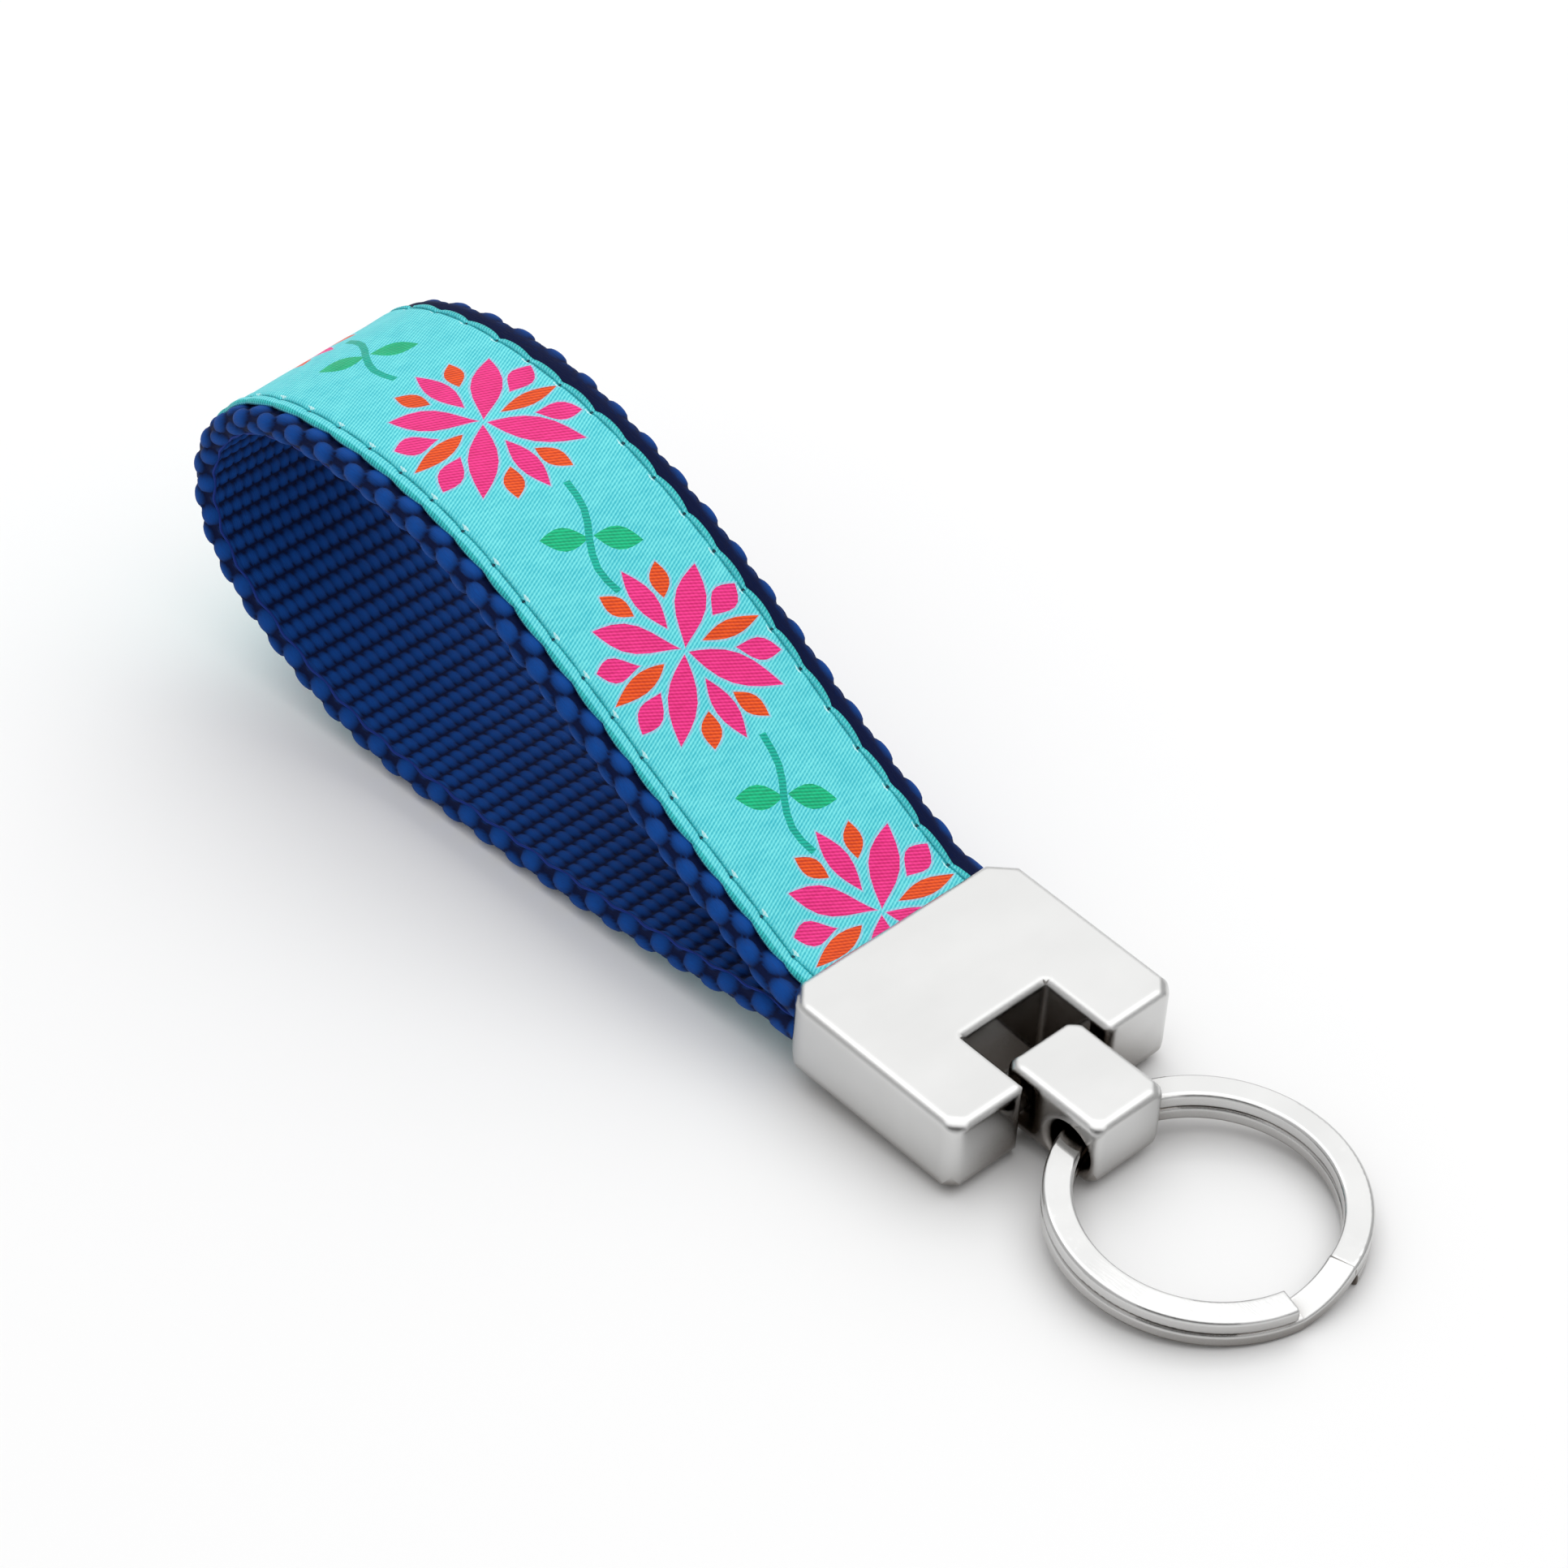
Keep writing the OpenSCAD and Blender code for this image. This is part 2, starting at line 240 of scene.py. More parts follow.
def woven_material(name, base, shade, slant=0.45, period=0.36, depth=0.035, gloss=0.5):
    """Fine ribbon weave: slanting twill lines, with small changes of colour from thread to thread."""
    m = Material(name, Roughness=gloss, Specular_IOR_Level=0.2, Sheen_Weight=0.05, Sheen_Roughness=0.35)
    flat = m.attribute("flat")
    parts = m.node("SeparateXYZ", Vector=flat.outputs["Vector"])
    s, v = parts.outputs[0], parts.outputs[1]
    phase = m.math("DIVIDE", m.math("MULTIPLY_ADD", v, -slant, s), period / (2 * math.pi))
    twill = m.math("MULTIPLY_ADD", m.math("SINE", phase), 0.5, 0.5)
    crossing = m.math("SINE", m.math("MULTIPLY", v, 2 * math.pi / CROSSING_PERIOD))
    lines = m.math("MULTIPLY_ADD", crossing, 0.12, twill)
    threads = m.noise(m.scaled(flat.outputs["Vector"], 3.3, 0.5, 1.0), 1.0, 1.0)
    mottle = m.noise(flat.outputs["Vector"], 0.35)
    tone = m.math("MULTIPLY_ADD", threads, 0.5, m.math("MULTIPLY", lines, 0.6))
    tone = m.math("MULTIPLY_ADD", mottle, 0.3, m.math("SUBTRACT", tone, 0.2))
    m.colour(m.mix(m.remap(tone, 0.15, 0.85), shade, base))
    m.roughness(m.remap(lines, 0.0, 1.0, gloss + 0.1, gloss - 0.05))
    m.bump(lines, depth * MM, 1.0)
    return m.data


def thread_material(name, base, shade):
    """Twisted sewing thread: fine fibres along the twist, slightly darker in between."""
    m = Material(name, Roughness=0.45, Specular_IOR_Level=0.4, Sheen_Weight=0.1)
    place = m.object_place()
    fibres = m.noise(place, 9000.0, 2.0)
    m.colour(m.mix(m.remap(fibres, 0.35, 0.65), shade, base))
    m.roughness(m.remap(fibres, 0.3, 0.7, 0.4, 0.6))
    m.bump(fibres, 0.02 * MM, 0.6)
    return m.data


# painted shade: the plating turns towards this dark brown in recesses
RECESS_SHADE_BROWN = (0.11, 0.085, 0.065, 1)
RECESS = 7              # how near, in mm, another face has to be for painted shade to darken the plating there


def plated_material(name, colour, gloss, soft_edge):
    """Polished nickel plate: mirror-like with polished-over edges, hairline marks, faint smears,
    and painted brownish shade in recesses, where other faces are near."""
    scratch = 0.004
    m = Material(name, Metallic=1.0, Roughness=gloss)
    place = m.object_place()
    smears = m.noise(m.scaled(place, 1.0, 0.6, 1.0), 140.0, 3.0)
    hairlines = m.noise(m.scaled(place, 1.0, 14.0, 14.0), 420.0, 2.0)
    wear = m.noise(place, 1900.0, 2.0)
    tint = tuple(c * 0.95 for c in colour[:3]) + (1.0,)
    polished = m.mix(m.remap(smears, 0.35, 0.7), tint, colour)
    open_share = m.node("AmbientOcclusion", {"samples": 6}, Distance=RECESS * MM).outputs["AO"]
    # painted shade: ambient occlusion mixes the plating towards dark brown where other faces are near
    m.colour(m.mix(m.remap(open_share, 0.3, 0.85), RECESS_SHADE_BROWN, polished))
    rough = m.math("ADD", m.remap(smears, 0.3, 0.75, gloss * 0.7, gloss * 1.4),
                   m.remap(wear, 0.62, 0.8, 0.0, 0.08))
    m.roughness(rough)
    softened = m.node("Bevel", {"samples": 6}, Radius=soft_edge * MM).outputs[0]
    m.bump(m.math("MULTIPLY_ADD", smears, 0.4, hairlines), scratch * MM, 0.35, softened)
    return m.data


def steel_material(name, colour, gloss):
    """Plain machined steel: brushed lines, duller and darker than the plated parts."""
    scratch = 0.01
    m = Material(name, Metallic=1.0, Roughness=gloss)
    place = m.object_place()
    lines = m.noise(m.scaled(place, 1.0, 22.0, 4.0), 900.0, 3.0)
    stains = m.noise(place, 260.0)
    dark = tuple(c * 0.6 for c in colour[:3]) + (1.0,)
    m.colour(m.mix(m.remap(stains, 0.3, 0.7), dark, colour))
    m.roughness(m.remap(lines, 0.3, 0.7, gloss, gloss + 0.15))
    m.bump(lines, scratch * MM, 0.5)
    return m.data


# ---------------------------------------------------------------- mesh helpers

def mesh_object(name, points, faces, materials, body):
    """A smooth-shaded object of these faces that rides on a body."""
    mesh = bpy.data.meshes.new(name)
    mesh.from_pydata([tuple(p) for p in points], [], faces)
    for m in materials:
        mesh.materials.append(m)
    mesh.shade_smooth()
    piece = bpy.data.objects.new(name, mesh)
    bpy.context.scene.collection.objects.link(piece)
    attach(piece, body)
    return piece


def recalculate(mesh):
    """Turns every face of a closed mesh outwards."""
    work = bmesh.new()
    work.from_mesh(mesh)
    bmesh.ops.recalc_face_normals(work, faces=work.faces)
    work.to_mesh(mesh)
    work.free()


def add_flat_place(mesh, s, v, rise=None):
    """Stores where each point lies on the flat strap, and how high its yarn stands, for materials."""
    flat = mesh.attributes.new("flat", "FLOAT_VECTOR", "POINT")
    zero = np.zeros(len(s))
    flat.data.foreach_set("vector", np.stack([s, v, zero], -1).astype(np.float32).ravel())
    if rise is not None:
        crown = mesh.attributes.new("rise", "FLOAT", "POINT")
        crown.data.foreach_set("value", rise.astype(np.float32))


def tube(path, radius, sides):
    """Points and faces of a round bar along a path of points, closed at both ends."""
    path = np.asarray(path)
    direction = np.gradient(path, axis=0)
    direction /= np.linalg.norm(direction, axis=1)[:, None]
    side = np.cross(direction, np.array([0.0, 1.0, 0.0]))
    weak = np.linalg.norm(side, axis=1) < 0.2       # where the path runs along Y
    side[weak] = np.cross(direction[weak], np.array([1.0, 0.0, 0.0]))
    side /= np.linalg.norm(side, axis=1)[:, None]
    other = np.cross(direction, side)
    angle = np.arange(sides) * 2 * math.pi / sides
    ring = np.cos(angle)[None, :, None] * side[:, None] + np.sin(angle)[None, :, None] * other[:, None]
    points = (path[:, None] + radius * ring).reshape(-1, 3)
    faces = []
    for i in range(len(path) - 1):
        for k in range(sides):
            a, b = i * sides + k, i * sides + (k + 1) % sides
            faces.append((a, b, b + sides, a + sides))
    last = (len(path) - 1) * sides
    faces.append(tuple(reversed(range(sides))))
    faces.append(tuple(range(last, last + sides)))
    return points, faces


# ---------------------------------------------------------------- webbing

WEBBING_W = (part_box("webbing")[1].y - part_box("webbing")[0].y) / MM
WEBBING_T = 3.2
RIBBON_W = (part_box("ribbon")[1].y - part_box("ribbon")[0].y) / MM
RIBBON_T = 0.35
THREAD_D = 0.24
BED_DEPTH = THREAD_D + RIBBON_T + 0.05
YARN_ROW = 2.4          # from one row of yarn crowns to the next, along the strap
ROW_STEPS = 6           # mesh steps to a row
EDGE_R = 1.45           # rounding of the thick woven edges
EDGE_BULGE = 0.3        # how far they swell out beyond the part that the housing holds
INNER_V = WEBBING_W / 2 + EDGE_BULGE - EDGE_R

# A weave: distance between the crowns of one row, and a crown's half width, half length and relief
INNER_WEAVE = (1.2, 0.78, 1.05, 0.3)
EDGE_WEAVE = (4.0, 1.6, 1.45, 0.5)
FIRST_KNOT = 1.2        # how far round the edge its first column of crowns lies
CORNER_RELIEF = 0.25    # share of the edge's relief that is left where it meets the inner face
CORNER_SPAN = (0.3, 1.3)    # how far round the edge the relief then rises, from and to
PULLED_RELIEF = 0.5     # share that is left beside the ribbon's right edge
PULLED_SPAN = (3.2, 4.8)    # how far round the edge it drops to that, from and to
SQUEEZED_RELIEF = 0.25  # share of all relief that is left in the housing
HELD_L = 10             # how much of each end is held that tight
FREED_L = 8             # over what length the relief comes back
UNDER_RIBBON = 0.5      # how far the edge's slope runs in under the ribbon
BEND_S = 82             # where the strap bends over towards the far end
BEND_L = 12             # over what length it does
BEND_SWELL = 0.55       # how far the right edge swells out there


def running_length(line):
    """Length along a line of points, up to each of them."""
    return np.concatenate([[0], np.cumsum(np.hypot(*np.diff(line, axis=0).T))])


def edge_line():
    """The thick edge's outline, from the inner face round to the bed under the ribbon: v, depth."""
    angle = np.radians(np.linspace(-90, 90, 24))
    round_part = np.stack([INNER_V + EDGE_R * np.cos(angle),
                           WEBBING_T - EDGE_R - EDGE_R * np.sin(angle)], -1)
    return np.concatenate([round_part, [[RIBBON_W / 2 - UNDER_RIBBON, BED_DEPTH]]])


def half_section(side):
    """One half of the webbing's outline across, from the middle of its inner face to its bed under
    the ribbon: v, depth, place across the weave, the weave, and how much of its height shows. Beside
    the ribbon's right edge the crowns are pulled flat."""
    pitch = INNER_WEAVE[0]
    rows = [(v, WEBBING_T, v + pitch, *INNER_WEAVE, 1) for v in np.arange(0, INNER_V, pitch / 6)]
    edge = edge_line()
    run = running_length(edge)
    for here in np.linspace(0, run[-1], 26):
        pulled = smooth_rise(here, *PULLED_SPAN) if side > 0 else 0
        relief = EDGE_WEAVE[3] * (CORNER_RELIEF + (1 - CORNER_RELIEF) * smooth_rise(here, *CORNER_SPAN))
        relief *= 1 - (1 - PULLED_RELIEF) * pulled
        rows.append((np.interp(here, run, edge[:, 0]), np.interp(here, run, edge[:, 1]),
                     here - FIRST_KNOT, *EDGE_WEAVE[:3], relief, 1 - pulled))
    rows.append((RIBBON_W / 4, BED_DEPTH, 0, *EDGE_WEAVE[:3], 0, 0))
    rows = np.array(rows)
    rows[:, 0] *= side
    return rows


def webbing_section():
    """The webbing's whole outline across, point by point."""
    bed_middle = [[0, BED_DEPTH, 0, *EDGE_WEAVE[:3], 0, 0]]
    return np.concatenate([half_section(1), bed_middle, half_section(-1)[:0:-1]])


def weave_height(s, place, pitch, half_w, half_l):
    """Height of the weave, from 0 between the yarns to 1 on a crown. The crowns of each row lie
    between those of the rows beside it."""
    height = np.zeros((len(s), len(place)))
    for step in (-1, 0, 1):
        row = np.floor(s / YARN_ROW)[:, None] + step
        along = s[:, None] - (row + 0.5) * YARN_ROW
        count = place / pitch + 0.5 * (row % 2)
        across = (count - np.round(count)) * pitch
        crown = np.sqrt(np.clip(1 - (along / half_l) ** 2 - (across / half_w) ** 2, 0, 1))
        height = np.maximum(height, crown)
    return height


def build_webbing(material):
    """The webbing: its section swept along the strap, with the weave sunk in between the crowns."""
    section = webbing_section()
    count = len(section)
    stations = np.linspace(0, STRAP_L, round(STRAP_L / YARN_ROW * ROW_STEPS))
    v, depth, place, pitch, half_w, half_l, relief, showing = section.T
    around = np.roll(section[:, :2], -1, axis=0) - np.roll(section[:, :2], 1, axis=0)
    inward = np.stack([around[:, 1], -around[:, 0]], -1)
    inward /= np.linalg.norm(inward, axis=1)[:, None]
    crown = weave_height(stations, place, pitch, half_w, half_l) * showing
    from_end = np.minimum(stations, STRAP_L - stations)
    loose = np.clip((from_end - HELD_L) / FREED_L, SQUEEZED_RELIEF, 1)[:, None]
    drop = relief[None, :] * loose * (1 - crown)
    swell = BEND_SWELL * np.exp(-(((stations - BEND_S) / BEND_L) ** 2))[:, None]
    swell = swell * smooth_rise(v, INNER_V - 0.5, INNER_V + 0.8)[None, :]
    grid_v = v[None, :] + drop * inward[None, :, 0] + swell
    grid_depth = depth[None, :] + drop * inward[None, :, 1]
    grid_s = np.broadcast_to(stations[:, None], grid_v.shape)
    points = on_strap(grid_s.ravel(), grid_v.ravel(), grid_depth.ravel())
    faces = []
    for i in range(len(stations) - 1):
        for k in range(count):
            a, b = i * count + k, i * count + (k + 1) % count
            faces.append((a, b, b + count, a + count))
    faces.append(tuple(reversed(range(count))))
    last = (len(stations) - 1) * count
    faces.append(tuple(range(last, last + count)))
    piece = mesh_object("webbing_strap", points, faces, [material], "strap")
    recalculate(piece.data)
    grid_run = np.broadcast_to(running_length(section[:, :2])[None, :], grid_v.shape)
    add_flat_place(piece.data, grid_s.ravel(), grid_run.ravel(), crown.ravel())
    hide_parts("webbing")


# ---------------------------------------------------------------- ribbon

STITCHES = 48           # in each row
STITCH_L = STRAP_L / STITCHES
ROWS = {"left": (-9.55, 1.0), "right": (10.15, 0.5)}    # v of each stitch row, and where it starts
DRAWN_IN = {"left": 0.3, "right": 0.5}                  # how far the stitches draw each edge in
SCALLOP = 0.35          # how far the edge swells out again between two needle holes
MOTIF_PERIOD = 31.4
FIRST_FLOWER = 14.15
FLOWER_V = 1.0
EASED = 2.9             # how much further on the motifs sit beyond the far end's bend
MOTIF_EDGE_V = 10.4     # motifs that reach further out than this are left out
CUT_END = 0.3           # how far the ribbon's ends lie inside the strap's
COLUMN_STEP = 0.62      # from one column of mesh points to the next, along the ribbon
SELVEDGE_W = 0.08       # the selvedge's least width, at a needle hole

GROUND, SELVEDGE, HALO, PINK, ORANGE, LEAF, STEM, HOLE_HIGHLIGHT, HOLE = range(9)


def petal(base, tip, width, belly=0.5, point=1.0, count=11):
    """Outline of a petal or leaf, anticlockwise, widest at the share belly of the way to its tip."""
    base, tip = np.array(base, float), np.array(tip, float)
    reach = tip - base
    across = np.array([-reach[1], reach[0]]) / np.hypot(*reach) * width / 2
    power = math.log(0.5) / math.log(belly)
    t = (1 - np.cos(np.linspace(0, math.pi, count))) / 2
    half = np.sin(math.pi * t**power) ** point
    there = base + t[:, None] * reach - half[:, None] * across
    back = base + t[:, None] * reach + half[:, None] * across
    return np.concatenate([there, back[-2:0:-1]])


def band(points, width):
    """Outline of a band along a line of points, anticlockwise."""
    points = np.array(points, float)
    direction = np.gradient(points, axis=0)
    across = np.stack([-direction[:, 1], direction[:, 0]], -1)
    across *= width / 2 / np.hypot(*across.T)[:, None]
    return np.concatenate([points - across, (points + across)[::-1]])


# Each petal of the flower: colour, base, tip, width, and where it is widest
PETALS = (
    (PINK, (-3.2, -0.1), (-10.2, -0.2), 2.3, 0.5),
    (PINK, (2.8, -0.2), (10.0, -0.4), 2.4, 0.5),
    (PINK, (-0.2, 0.15), (-7.6, 6.5), 3.3, 0.48),
    (PINK, (0.3, 0.1), (7.0, 6.5), 3.2, 0.55),
    (PINK, (-0.2, -0.4), (-7.7, -6.6), 3.0, 0.5),
    (PINK, (0.4, -0.3), (6.3, -6.9), 3.1, 0.58),
    (ORANGE, (0.1, 2.1), (-0.6, 8.7), 1.8, 0.5),
    (ORANGE, (0.0, -2.8), (-1.2, -9.8), 2.0, 0.45),
    (PINK, (-2.1, 4.6), (-4.6, 8.5), 2.4, 0.55),
    (PINK, (1.7, 4.6), (3.3, 8.7), 2.7, 0.55),
    (PINK, (-2.2, -4.9), (-4.8, -9.2), 2.5, 0.55),
    (PINK, (1.0, -4.9), (2.5, -9.3), 2.7, 0.6),
    (ORANGE, (-5.7, 1.5), (-9.5, 3.2), 2.1, 0.5),
    (ORANGE, (5.6, 1.5), (9.2, 3.2), 2.0, 0.5),
    (ORANGE, (-6.1, -1.9), (-9.6, -3.8), 2.1, 0.5),
    (ORANGE, (5.5, -2.3), (8.9, -4.0), 2.1, 0.5),
)
STEM_LINE = ((-23.0, -1.9), (-21.5, -2.2), (-20.0, -2.2), (-18.5, -1.7), (-17.0, -0.9), (-15.5, 0.1),
             (-14.0, 0.85), (-12.5, 1.2), (-10.6, 1.4))
LEAVES = (((-16.9, -0.3), (-19.8, 3.7), 2.7), ((-16.9, -0.9), (-14.6, -5.2), 2.7))
HALO_W = 0.5


def motif_outlines():
    """Every outline of the pattern along the ribbon: its colour and its points on the flat ribbon."""
    found = []
    for k in range(-1, math.ceil(STRAP_L / MOTIF_PERIOD) + 1):
        place = np.array([FIRST_FLOWER + k * MOTIF_PERIOD + (EASED if k > 2 else 0), FLOWER_V])
        for colour, base, tip, width, belly in PETALS:
            reach = np.array(tip) - np.array(base)
            step = HALO_W / 2 * reach / np.hypot(*reach)
            halo = petal(base - step, tip + step, width + HALO_W, belly, 0.9)
            found.append((HALO, place + halo))
            found.append((colour, place + petal(base, tip, width, belly)))
        found.append((STEM, place + band(STEM_LINE, 0.75)))
        for base, tip, width in LEAVES:
            found.append((LEAF, place + petal(base, tip, width)))
    return found


def wobble(s, v):
    """A small uneven swell of sewn cloth, between about -1 and 1."""
    return (np.sin(0.61 * s + 0.35 * v) * np.sin(0.23 * s - 0.5 * v + 1.0)
            + 0.5 * np.sin(1.37 * s + 1.1 * v + 2.0) * np.cos(0.47 * s)) / 1.5


def between_holes(s, start):
    """Where s lies in a row of stitches: 0 at a needle hole, 1 halfway between two."""
    return np.abs(np.sin(math.pi * (s - start) / STITCH_L))


def ribbon_edge(s, side_name):
    """Half width of the ribbon at s, drawn in a little at each needle hole, and of the part of it
    inside the selvedge."""
    swell = SCALLOP * between_holes(s, ROWS[side_name][1]) ** 0.6
    half = RIBBON_W / 2 - DRAWN_IN[side_name] + swell
    return half, half - SELVEDGE_W - 0.9 * swell


def ribbon_depth(s, v):
    """How deep the ribbon's face lies: it dips along the stitches, most at the needle holes, puffs
    up on both sides of them and rolls down at its edges."""
    roll_w = 0.28
    depth = THREAD_D + 0.02 + 0.05 * wobble(s, v)
    for name, (row_v, start) in ROWS.items():
        side = math.copysign(1, row_v)
        off = (v - row_v) * side
        between = between_holes(s, start)
        at_hole = np.exp(-((between / 0.28) ** 2))
        groove_w = 0.22 + 0.12 * at_hole
        groove = (0.16 + 0.22 * at_hole) * np.exp(-((off / groove_w) ** 2))
        puff_outside = 0.2 * np.clip(off / 0.5, 0, 1) * (0.3 + 0.7 * between**0.7)
        puff_inside = 0.07 * np.exp(-(((off + 0.75) / 0.5) ** 2)) * between
        from_edge = ribbon_edge(s, name)[0] - np.abs(v)
        rolled = np.clip(1 - from_edge / roll_w, 0, 1) * (v * side > 0)
        depth += groove - puff_outside - puff_inside + 0.2 * rolled**2
    return depth


def stitch_spots():
    """The needle holes of both rows and a pale patch of painted highlight beside each: colour and
    outline.
    """
    found = []
    for row_v, start in ROWS.values():
        beside = row_v - math.copysign(0.38, row_v)
        for k in range(1, STITCHES):
            at = k * STITCH_L + start
            if at < STRAP_L - 2:
                found.append((HOLE, petal((at - 0.45, row_v), (at + 0.4, row_v), 0.4, count=5)))
                # a pale patch on the inner side of each hole: painted highlight
                found.append((HOLE_HIGHLIGHT, petal((at - 0.5, beside), (at + 0.6, beside), 0.3, count=5)))
    return found


def ribbon_outlines(columns):
    """Every outline cut into the ribbon's mesh, each over the ones before it: colour and points."""
    left, left_inner = (np.stack([columns, -half], -1) for half in ribbon_edge(columns, "left"))
    right, right_inner = (np.stack([columns, half], -1) for half in ribbon_edge(columns, "right"))
    found = [
        (GROUND, np.concatenate([left, right[::-1]])),
        (SELVEDGE, np.concatenate([right_inner, right[::-1]])),
        (SELVEDGE, np.concatenate([left, left_inner[::-1]])),
    ]
    for colour, motif in motif_outlines():
        s, v = motif.T
        if s.min() > CUT_END and s.max() < STRAP_L - CUT_END and np.abs(v).max() < MOTIF_EDGE_V:
            found.append((colour, motif))
    return found + stitch_spots()


def ribbon_fill(columns):
    """Mesh points between the outlines: rows close together beside the stitches, wider elsewhere."""
    left_v, right_v = ROWS["left"][0], ROWS["right"][0]
    rows = [left_v + off for off in (-0.95, -0.75, -0.55, -0.35, -0.15, 0, 0.15, 0.35, 0.6)]
    rows += [right_v + off for off in (-0.65, -0.35, -0.15, 0, 0.15, 0.27)]
    rows += list(np.arange(-8.7, 9.2, 0.75))
    return [(s, v) for s in columns[1:-1] for v in rows]


def build_ribbon(materials):
    """The ribbon: its weave pattern is cut into the mesh, so that each motif has its own faces."""
    columns = np.arange(CUT_END, STRAP_L - CUT_END, COLUMN_STEP)
    points, outlines, colours = [], [], []
    for colour, outline in ribbon_outlines(columns):
        outlines.append(list(range(len(points), len(points) + len(outline))))
        points.extend(outline)
        colours.append(colour)
    points.extend(ribbon_fill(columns))
    flat = [Vector((float(s), float(v))) for s, v in points]
    flat_points, _, flat_faces, _, _, drawn_over = delaunay_2d_cdt(flat, [], outlines, 1, 1e-4, True)
    s, v = np.array([tuple(p) for p in flat_points]).T
    depth = ribbon_depth(s, v)
    top = on_strap(s, v, depth)
    under = on_strap(s, v, depth + RIBBON_T - 0.05)
    count = len(s)
    shown, slots = [], []
    for face, sources in zip(flat_faces, drawn_over):
        if sources:
            shown.append(tuple(face))
            slots.append(max(colours[k] for k in sources))
    sides = dict.fromkeys(side for face in shown for side in zip(face, face[1:] + face[:1]))
    rim = [(a, b) for a, b in sides if (b, a) not in sides]
    faces = list(shown)
    faces += [tuple(count + i for i in reversed(face)) for face in shown]
    faces += [(b, a, a + count, b + count) for a, b in rim]
    slots += [GROUND] * (len(shown) + len(rim))
    piece = mesh_object("ribbon_woven", np.concatenate([top, under]), faces, materials,
                        "strap")
    piece.data.polygons.foreach_set("material_index", slots)
    recalculate(piece.data)
    add_flat_place(piece.data, np.tile(s, 2), np.tile(v, 2))
    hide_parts("ribbon")


# ---------------------------------------------------------------- stitches

def build_stitch_row(name, node, side_name, material):
    """A row of stitches of two-ply thread, each rising from one needle hole and diving into the next."""
    row_v, start = ROWS[side_name]
    ply_r = THREAD_D / 4
    ply_off = 0.9 * ply_r
    turns = 4
    gap = 0.12
    dive_depth, rise = 0.62, 0.36
    points, faces = [], []
    for k in range(STITCHES):
        first = k * STITCH_L + start
        if first + STITCH_L > STRAP_L - 1:
            break
        t = np.linspace(0, 1, 25)
        s = first + gap + t * (STITCH_L - 2 * gap)
        lift = np.sin(math.pi * t) ** 0.35
        for ply in (0, math.pi):
            twist = 2 * math.pi * turns * t + ply
            v = row_v + ply_off * np.cos(twist)
            depth = dive_depth - rise * lift + ply_off * np.sin(twist)
            ply_points, ply_faces = tube(on_strap(s, v, depth), ply_r * MM, 6)
            base = sum(len(p) for p in points)
            points.append(ply_points)
            faces += [tuple(base + i for i in face) for face in ply_faces]
    piece = mesh_object(name, np.concatenate(points), faces, [material], "strap")
    recalculate(piece.data)
    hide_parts(node)


def build_catch_thread(material):
    """The lighter catch thread that locks the webbing's left edge, a chain of small slanting loops."""
    radius = 0.13
    s = np.arange(1, STRAP_L - 1, 0.3)
    loop = math.pi * s / YARN_ROW
    v = -INNER_V - 0.3 + 0.14 * np.sin(loop)
    depth = WEBBING_T - 0.1 + 0.03 * np.cos(2 * loop)
    points, faces = tube(on_strap(s, v, depth), radius * MM, 8)
    piece = mesh_object("webbing_catch_thread", points, faces, [material], "strap")
    recalculate(piece.data)


# ---------------------------------------------------------------- camera, floor and light

def build_camera():
    """The camera stands in front of the ring's end, to the strap's left, and looks down at it."""
    azimuth, elevation, roll = (math.radians(a) for a in (47.5, 40, -0.7))
    aim = Vector((-14.4, 15.2, 0)) * MM
    distance = 502.7 * MM
    back = Vector((math.sin(azimuth) * math.cos(elevation),
                   -math.cos(azimuth) * math.cos(elevation), math.sin(elevation)))
    right = Vector((math.cos(azimuth), math.sin(azimuth), 0))
    level_up = back.cross(right)
    tilted_right = math.cos(roll) * right + math.sin(roll) * level_up
    tilted_up = -math.sin(roll) * right + math.cos(roll) * level_up
    data = bpy.data.cameras.new("camera")
    data.lens = 115.5
    data.sensor_width = 36
    data.clip_start = 0.01
    camera = bpy.data.objects.new("camera", data)
    bpy.context.scene.collection.objects.link(camera)
    turn = Matrix((tilted_right, tilted_up, back)).transposed()
    camera.matrix_world = Matrix.Translation(aim + distance * back) @ turn.to_4x4()
    bpy.context.scene.camera = camera


def soft_box(name, place, size, power):
    """A rectangular lamp turned towards the object."""
    data = bpy.data.lights.new(name, "AREA")
    data.shape = "RECTANGLE"
    data.size, data.size_y = size
    data.energy = power
    light = bpy.data.objects.new(name, data)
    bpy.context.scene.collection.objects.link(light)
    light.location = place
    light.rotation_euler = (-Vector(place)).to_track_quat("-Z", "Y").to_euler()


def dark_card(name, place, width, height):
    """A dark board facing the object, that only shows as a reflection in the polished metal."""
    bpy.ops.mesh.primitive_plane_add(size=1, location=place)
    card = bpy.context.object
    card.name = name
    card.scale = (width, height, 1)
    card.rotation_euler = Vector(place).to_track_quat("Z", "Y").to_euler()
    card.data.materials.append(Material(name, Base_Color=(0.02, 0.018, 0.016, 1), Roughness=0.9).data)
    card.visible_camera = False
    card.visible_shadow = False
    card.visible_diffuse = False


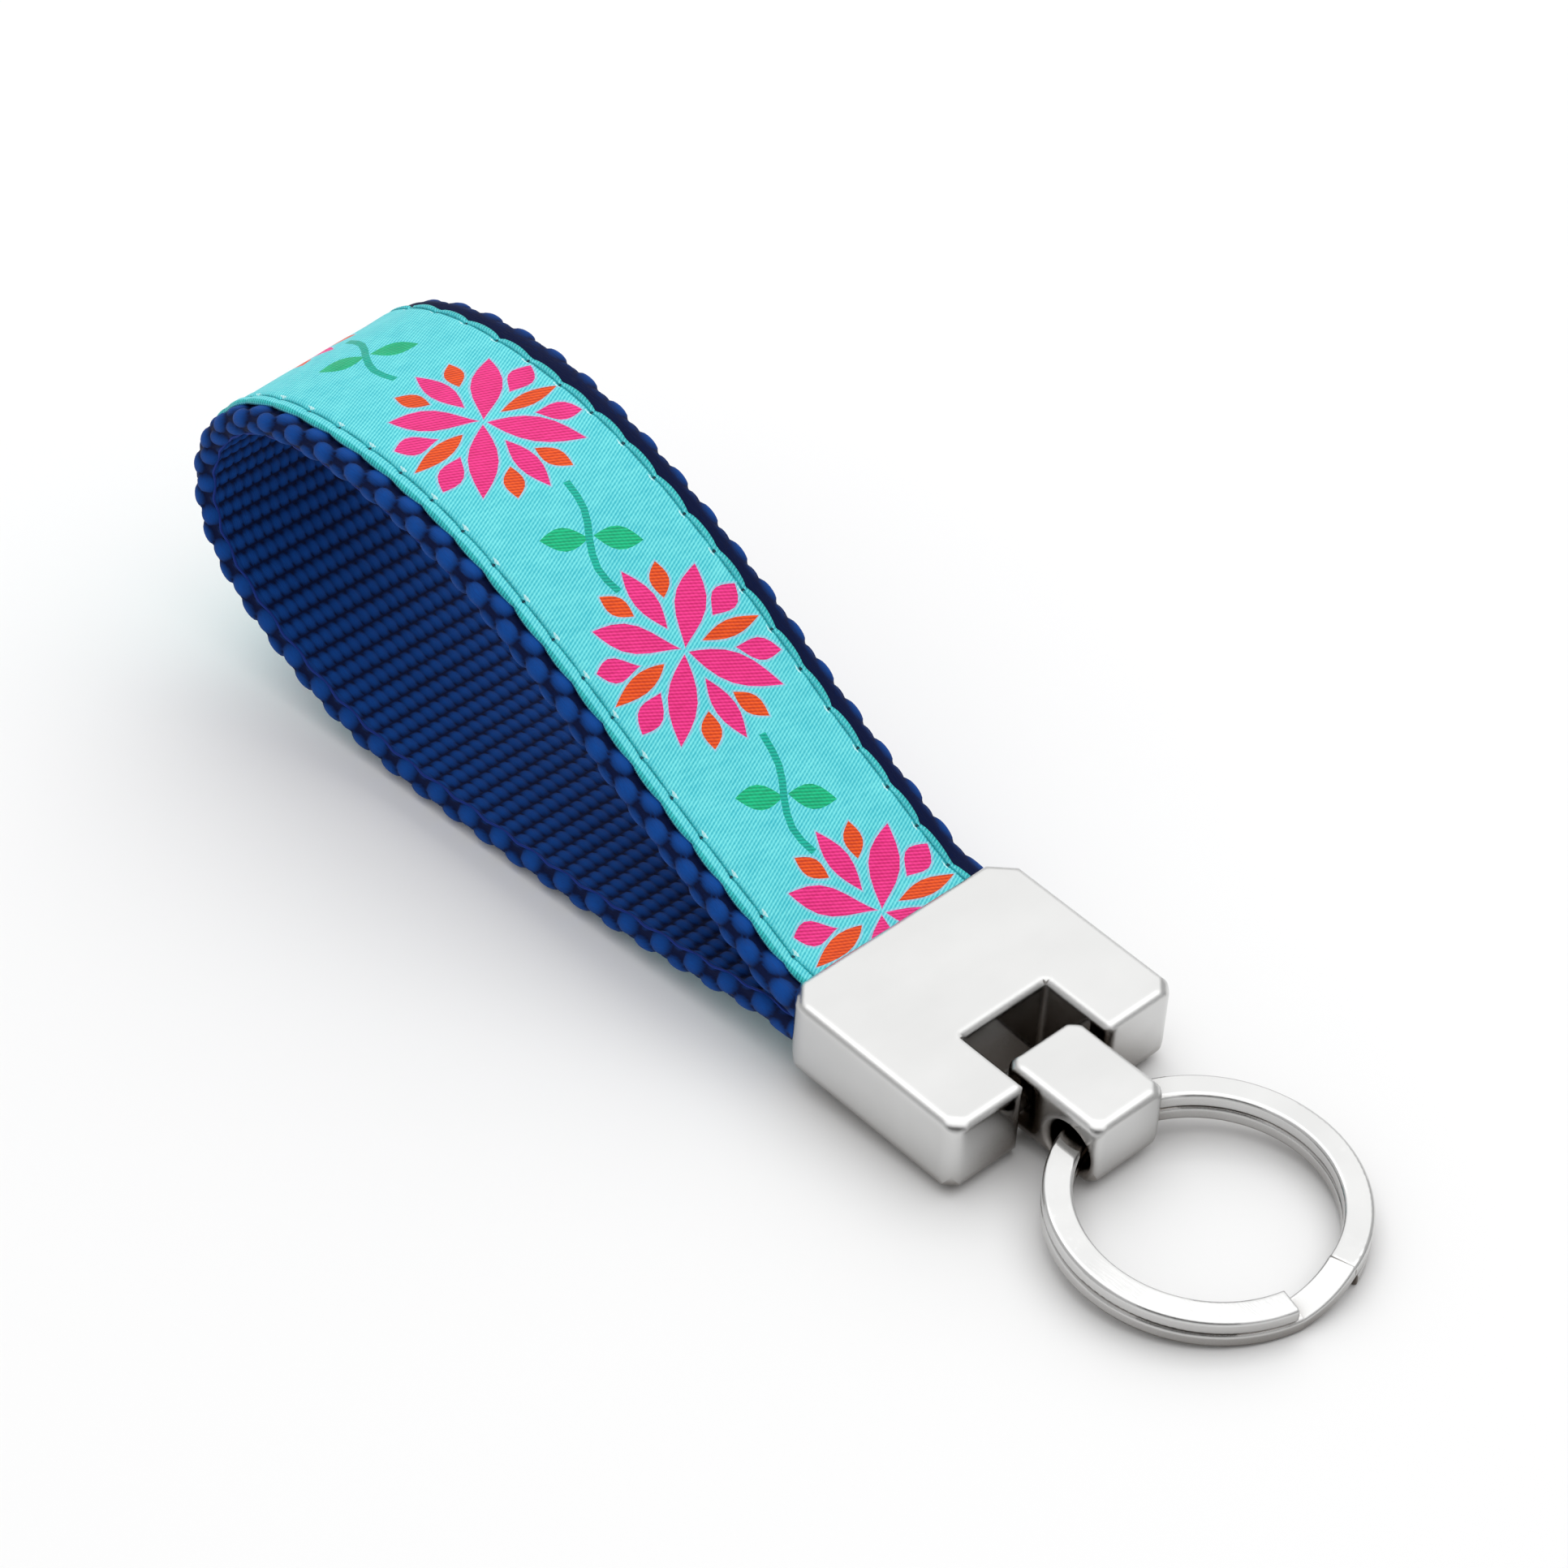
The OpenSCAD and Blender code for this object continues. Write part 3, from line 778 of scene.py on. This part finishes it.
def build_stage():
    """White surroundings, a pale floor, two soft lamps and two dark boards for the metal to mirror."""
    world = bpy.data.worlds.new("studio")
    bpy.context.scene.world = world
    world.use_nodes = True
    world.node_tree.nodes["Background"].inputs["Color"].default_value = (1, 1, 1, 1)
    world.node_tree.nodes["Background"].inputs["Strength"].default_value = 0.62
    floor_data = Material("floor_pale", Base_Color=(0.92, 0.92, 0.92, 1), Roughness=0.8).data
    bpy.ops.mesh.primitive_plane_add(size=6)
    floor = bpy.context.object
    floor.name = "floor"
    floor.data.materials.append(floor_data)
    soft_box("back_box", (-0.45, 0.47, 0.62), (0.95, 0.75), 1.65)
    soft_box("overhead", (0.1, 0.1, 0.95), (1.3, 1.3), 5.4)
    dark_card("camera_side_board", (0.34, -0.35, 0.37), 0.55, 0.34)
    dark_card("far_side_board", (0.55, 0.42, 0.05), 0.9, 0.1)


def build_looks():
    """Materials for the metal parts as CAD made them, and the strap's own pieces with theirs."""
    nickel = plated_material("nickel_plate", (0.64, 0.64, 0.635, 1), 0.07, 0.9)
    ring_metal = plated_material("ring_nickel", (0.66, 0.66, 0.655, 1), 0.08, 0.3)
    steel = steel_material("spring_steel", srgb(150, 148, 145), 0.32)
    dark_steel = steel_material("set_screw_steel", srgb(90, 90, 92), 0.4)
    chosen = {"clamp_housing": nickel, "ring_lug": nickel, "split_ring": ring_metal,
              "clamp_plate": steel, "hinge_pin": steel, "set_screws": dark_steel}
    for node, material in chosen.items():
        mesh = frame["nodes"][node].data
        mesh.materials.clear()
        mesh.materials.append(material)
    # the first colour is the painted shade between the yarns, the second the painted sheen on their
    # crowns
    navy = webbing_material("webbing_navy", srgb(1, 15, 56), srgb(10, 72, 152), 0.6)
    pale_navy = webbing_material("catch_thread_blue", srgb(22, 50, 130), srgb(60, 95, 190), 0.45)
    build_webbing(navy)
    build_catch_thread(pale_navy)
    motifs = [
        woven_material("ribbon_ground", srgb(124, 235, 237), srgb(56, 186, 202)),
        woven_material("ribbon_selvedge", srgb(70, 214, 212), srgb(16, 140, 150)),
        woven_material("ribbon_outline", srgb(160, 220, 236), srgb(118, 188, 210)),
        woven_material("ribbon_pink", srgb(255, 58, 150), srgb(206, 26, 104), -0.5, 0.40, 0.04, 0.42),
        woven_material("ribbon_orange", srgb(250, 92, 20), srgb(196, 56, 14), -0.5, 0.40, 0.04, 0.42),
        woven_material("ribbon_leaf", srgb(4, 200, 138), srgb(2, 150, 104), -0.5, 0.40, 0.04, 0.42),
        woven_material("ribbon_stem", srgb(8, 192, 166), srgb(4, 146, 132), -0.5, 0.40, 0.04, 0.42),
        # painted highlight beside the needle holes
        woven_material("ribbon_hole_highlight", srgb(214, 250, 250), srgb(150, 226, 232)),
        woven_material("needle_hole", srgb(14, 70, 84), srgb(6, 40, 56)),
    ]
    build_ribbon(motifs)
    thread = thread_material("thread_teal", srgb(30, 190, 196), srgb(10, 140, 152))
    build_stitch_row("stitches_left", "stitch_row_left", "left", thread)
    build_stitch_row("stitches_right", "stitch_row_right", "right", thread)


build_camera()
build_stage()
build_looks()
bpy.context.scene.view_settings.view_transform = "Standard"
